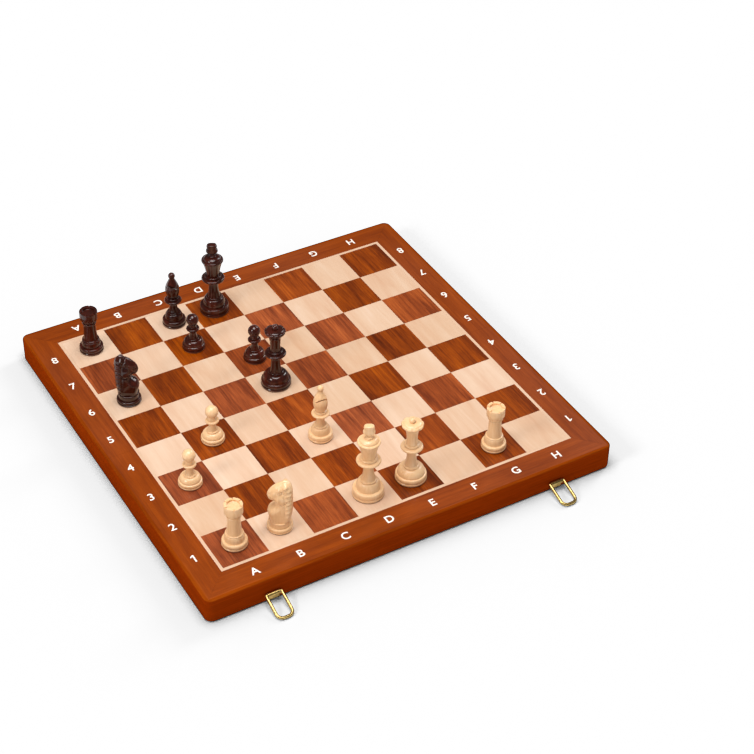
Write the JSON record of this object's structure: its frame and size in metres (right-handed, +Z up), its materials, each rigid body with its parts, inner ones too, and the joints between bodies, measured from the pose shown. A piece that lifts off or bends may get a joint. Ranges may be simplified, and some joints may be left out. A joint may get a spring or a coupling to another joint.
{
  "type": "folding chess set",
  "caption": "Folding wooden chess case laid open as a playing board, with turned men on its squares and more lying in the fitted foam under it.",
  "frame": {"origin": "under the middle of the whole object, latches and keepers included, on the surface the open case stands on", "axes": "+X along the ranks from file A to file H, +Y up the files from rank 1 to rank 8, +Z up out of the playing surface"},
  "size_m": [0.422, 0.4538, 0.1073],
  "materials": {
    "stained_wood": "satin lacquer over red-brown stain",
    "plywood": "plain plywood",
    "light_veneer": "satin lacquered maple veneer",
    "dark_veneer": "satin lacquered mahogany veneer",
    "foam": "charcoal closed-cell foam",
    "brass": "polished brass plate",
    "light_men": "satin lacquered boxwood, brown felt under the foot",
    "dark_men": "gloss lacquered dark brown, brown felt under the foot"
  },
  "bodies": {
    "near_half": {"near_frame": "stained_wood", "near_panel": "plywood", "near_light_squares": "light_veneer", "near_dark_squares": "dark_veneer", "near_border": "dark_veneer", "near_line": "light_veneer", "near_foam": "foam", "near_hinge_leaves": "brass", "near_hinge_screws": "brass", "hinge_pins": "brass", "latch_plates": "brass", "latch_nails": "brass"},
    "far_half": {"far_frame": "stained_wood", "far_panel": "plywood", "far_light_squares": "light_veneer", "far_dark_squares": "dark_veneer", "far_border": "dark_veneer", "far_line": "light_veneer", "far_foam": "foam", "far_hinge_leaves": "brass", "far_hinge_screws": "brass", "keepers": "brass", "keeper_nails": "brass"},
    "left_latch": {"left_bail": "brass"},
    "right_latch": {"right_bail": "brass"},
    "white_king_man": {"white_king": "light_men"},
    "white_queen_man": {"white_queen": "light_men"},
    "white_bishop_1_man": {"white_bishop_1": "light_men"},
    "white_knight_1_man": {"white_knight_1": "light_men"},
    "white_rook_1_man": {"white_rook_1": "light_men"},
    "white_rook_2_man": {"white_rook_2": "light_men"},
    "white_pawn_1_man": {"white_pawn_1": "light_men"},
    "white_pawn_2_man": {"white_pawn_2": "light_men"},
    "black_king_man": {"black_king": "dark_men"},
    "black_queen_man": {"black_queen": "dark_men"},
    "black_bishop_1_man": {"black_bishop_1": "dark_men"},
    "black_knight_1_man": {"black_knight_1": "dark_men"},
    "black_rook_1_man": {"black_rook_1": "dark_men"},
    "black_pawn_1_man": {"black_pawn_1": "dark_men"},
    "black_pawn_2_man": {"black_pawn_2": "dark_men"},
    "black_rook_2_man": {"black_rook_2": "dark_men"},
    "black_bishop_2_man": {"black_bishop_2": "dark_men"},
    "black_knight_2_man": {"black_knight_2": "dark_men"},
    "white_bishop_2_man": {"white_bishop_2": "light_men"},
    "white_knight_2_man": {"white_knight_2": "light_men"},
    "white_pawn_3_man": {"white_pawn_3": "light_men"},
    "white_pawn_4_man": {"white_pawn_4": "light_men"},
    "white_pawn_5_man": {"white_pawn_5": "light_men"},
    "white_pawn_6_man": {"white_pawn_6": "light_men"},
    "white_pawn_7_man": {"white_pawn_7": "light_men"},
    "white_pawn_8_man": {"white_pawn_8": "light_men"},
    "black_pawn_3_man": {"black_pawn_3": "dark_men"},
    "black_pawn_4_man": {"black_pawn_4": "dark_men"},
    "black_pawn_5_man": {"black_pawn_5": "dark_men"},
    "black_pawn_6_man": {"black_pawn_6": "dark_men"},
    "black_pawn_7_man": {"black_pawn_7": "dark_men"},
    "black_pawn_8_man": {"black_pawn_8": "dark_men"}
  },
  "joints": [
    {"name": "board_fold", "type": "hinge", "parent": "near_half", "child": "far_half", "pos_m": [0, 0.0113, 0.0013], "axis": [1, 0, 0], "range_deg": [-180, 0]},
    {"name": "left_latch_swing", "type": "hinge", "parent": "near_half", "child": "left_latch", "pos_m": [-0.148, -0.2017, 0.0092], "axis": [1, 0, 0], "range_deg": [-97, 73]},
    {"name": "right_latch_swing", "type": "hinge", "parent": "near_half", "child": "right_latch", "pos_m": [0.148, -0.2017, 0.0092], "axis": [1, 0, 0], "range_deg": [-97, 73]},
    {"name": "white_king_lift", "type": "slide", "parent": "near_half", "child": "white_king_man", "axis": [0, 0, 1], "range_m": [0, 0.1]},
    {"name": "white_queen_lift", "type": "slide", "parent": "near_half", "child": "white_queen_man", "axis": [0, 0, 1], "range_m": [0, 0.1]},
    {"name": "white_bishop_1_lift", "type": "slide", "parent": "near_half", "child": "white_bishop_1_man", "axis": [0, 0, 1], "range_m": [0, 0.1]},
    {"name": "white_knight_1_lift", "type": "slide", "parent": "near_half", "child": "white_knight_1_man", "axis": [0, 0, 1], "range_m": [0, 0.1]},
    {"name": "white_rook_1_lift", "type": "slide", "parent": "near_half", "child": "white_rook_1_man", "axis": [0, 0, 1], "range_m": [0, 0.1]},
    {"name": "white_rook_2_lift", "type": "slide", "parent": "near_half", "child": "white_rook_2_man", "axis": [0, 0, 1], "range_m": [0, 0.1]},
    {"name": "white_pawn_1_lift", "type": "slide", "parent": "near_half", "child": "white_pawn_1_man", "axis": [0, 0, 1], "range_m": [0, 0.1]},
    {"name": "white_pawn_2_lift", "type": "slide", "parent": "near_half", "child": "white_pawn_2_man", "axis": [0, 0, 1], "range_m": [0, 0.1]},
    {"name": "black_king_lift", "type": "slide", "parent": "far_half", "child": "black_king_man", "axis": [0, 0, 1], "range_m": [0, 0.1]},
    {"name": "black_queen_lift", "type": "slide", "parent": "far_half", "child": "black_queen_man", "axis": [0, 0, 1], "range_m": [0, 0.1]},
    {"name": "black_bishop_1_lift", "type": "slide", "parent": "far_half", "child": "black_bishop_1_man", "axis": [0, 0, 1], "range_m": [0, 0.1]},
    {"name": "black_knight_1_lift", "type": "slide", "parent": "far_half", "child": "black_knight_1_man", "axis": [0, 0, 1], "range_m": [0, 0.1]},
    {"name": "black_rook_1_lift", "type": "slide", "parent": "far_half", "child": "black_rook_1_man", "axis": [0, 0, 1], "range_m": [0, 0.1]},
    {"name": "black_pawn_1_lift", "type": "slide", "parent": "far_half", "child": "black_pawn_1_man", "axis": [0, 0, 1], "range_m": [0, 0.1]},
    {"name": "black_pawn_2_lift", "type": "slide", "parent": "far_half", "child": "black_pawn_2_man", "axis": [0, 0, 1], "range_m": [0, 0.1]},
    {"name": "white_pawn_3_draw_out", "type": "slide", "parent": "near_half", "child": "white_pawn_3_man", "axis": [0, 0, -1], "range_m": [0, 0.04]},
    {"name": "white_pawn_4_draw_out", "type": "slide", "parent": "near_half", "child": "white_pawn_4_man", "axis": [0, 0, -1], "range_m": [0, 0.04]},
    {"name": "white_pawn_5_draw_out", "type": "slide", "parent": "near_half", "child": "white_pawn_5_man", "axis": [0, 0, -1], "range_m": [0, 0.04]},
    {"name": "white_pawn_6_draw_out", "type": "slide", "parent": "near_half", "child": "white_pawn_6_man", "axis": [0, 0, -1], "range_m": [0, 0.04]},
    {"name": "white_pawn_7_draw_out", "type": "slide", "parent": "near_half", "child": "white_pawn_7_man", "axis": [0, 0, -1], "range_m": [0, 0.04]},
    {"name": "white_pawn_8_draw_out", "type": "slide", "parent": "near_half", "child": "white_pawn_8_man", "axis": [0, 0, -1], "range_m": [0, 0.04]},
    {"name": "black_pawn_3_draw_out", "type": "slide", "parent": "near_half", "child": "black_pawn_3_man", "axis": [0, 0, -1], "range_m": [0, 0.04]},
    {"name": "black_pawn_4_draw_out", "type": "slide", "parent": "near_half", "child": "black_pawn_4_man", "axis": [0, 0, -1], "range_m": [0, 0.04]},
    {"name": "black_pawn_5_draw_out", "type": "slide", "parent": "near_half", "child": "black_pawn_5_man", "axis": [0, 0, -1], "range_m": [0, 0.04]},
    {"name": "black_pawn_6_draw_out", "type": "slide", "parent": "near_half", "child": "black_pawn_6_man", "axis": [0, 0, -1], "range_m": [0, 0.04]},
    {"name": "black_pawn_7_draw_out", "type": "slide", "parent": "near_half", "child": "black_pawn_7_man", "axis": [0, 0, -1], "range_m": [0, 0.04]},
    {"name": "black_pawn_8_draw_out", "type": "slide", "parent": "near_half", "child": "black_pawn_8_man", "axis": [0, 0, -1], "range_m": [0, 0.04]},
    {"name": "black_rook_2_draw_out", "type": "slide", "parent": "far_half", "child": "black_rook_2_man", "axis": [0, 0, -1], "range_m": [0, 0.04]},
    {"name": "black_bishop_2_draw_out", "type": "slide", "parent": "far_half", "child": "black_bishop_2_man", "axis": [0, 0, -1], "range_m": [0, 0.04]},
    {"name": "black_knight_2_draw_out", "type": "slide", "parent": "far_half", "child": "black_knight_2_man", "axis": [0, 0, -1], "range_m": [0, 0.04]},
    {"name": "white_bishop_2_draw_out", "type": "slide", "parent": "far_half", "child": "white_bishop_2_man", "axis": [0, 0, -1], "range_m": [0, 0.04]},
    {"name": "white_knight_2_draw_out", "type": "slide", "parent": "far_half", "child": "white_knight_2_man", "axis": [0, 0, -1], "range_m": [0, 0.04]}
  ]
}
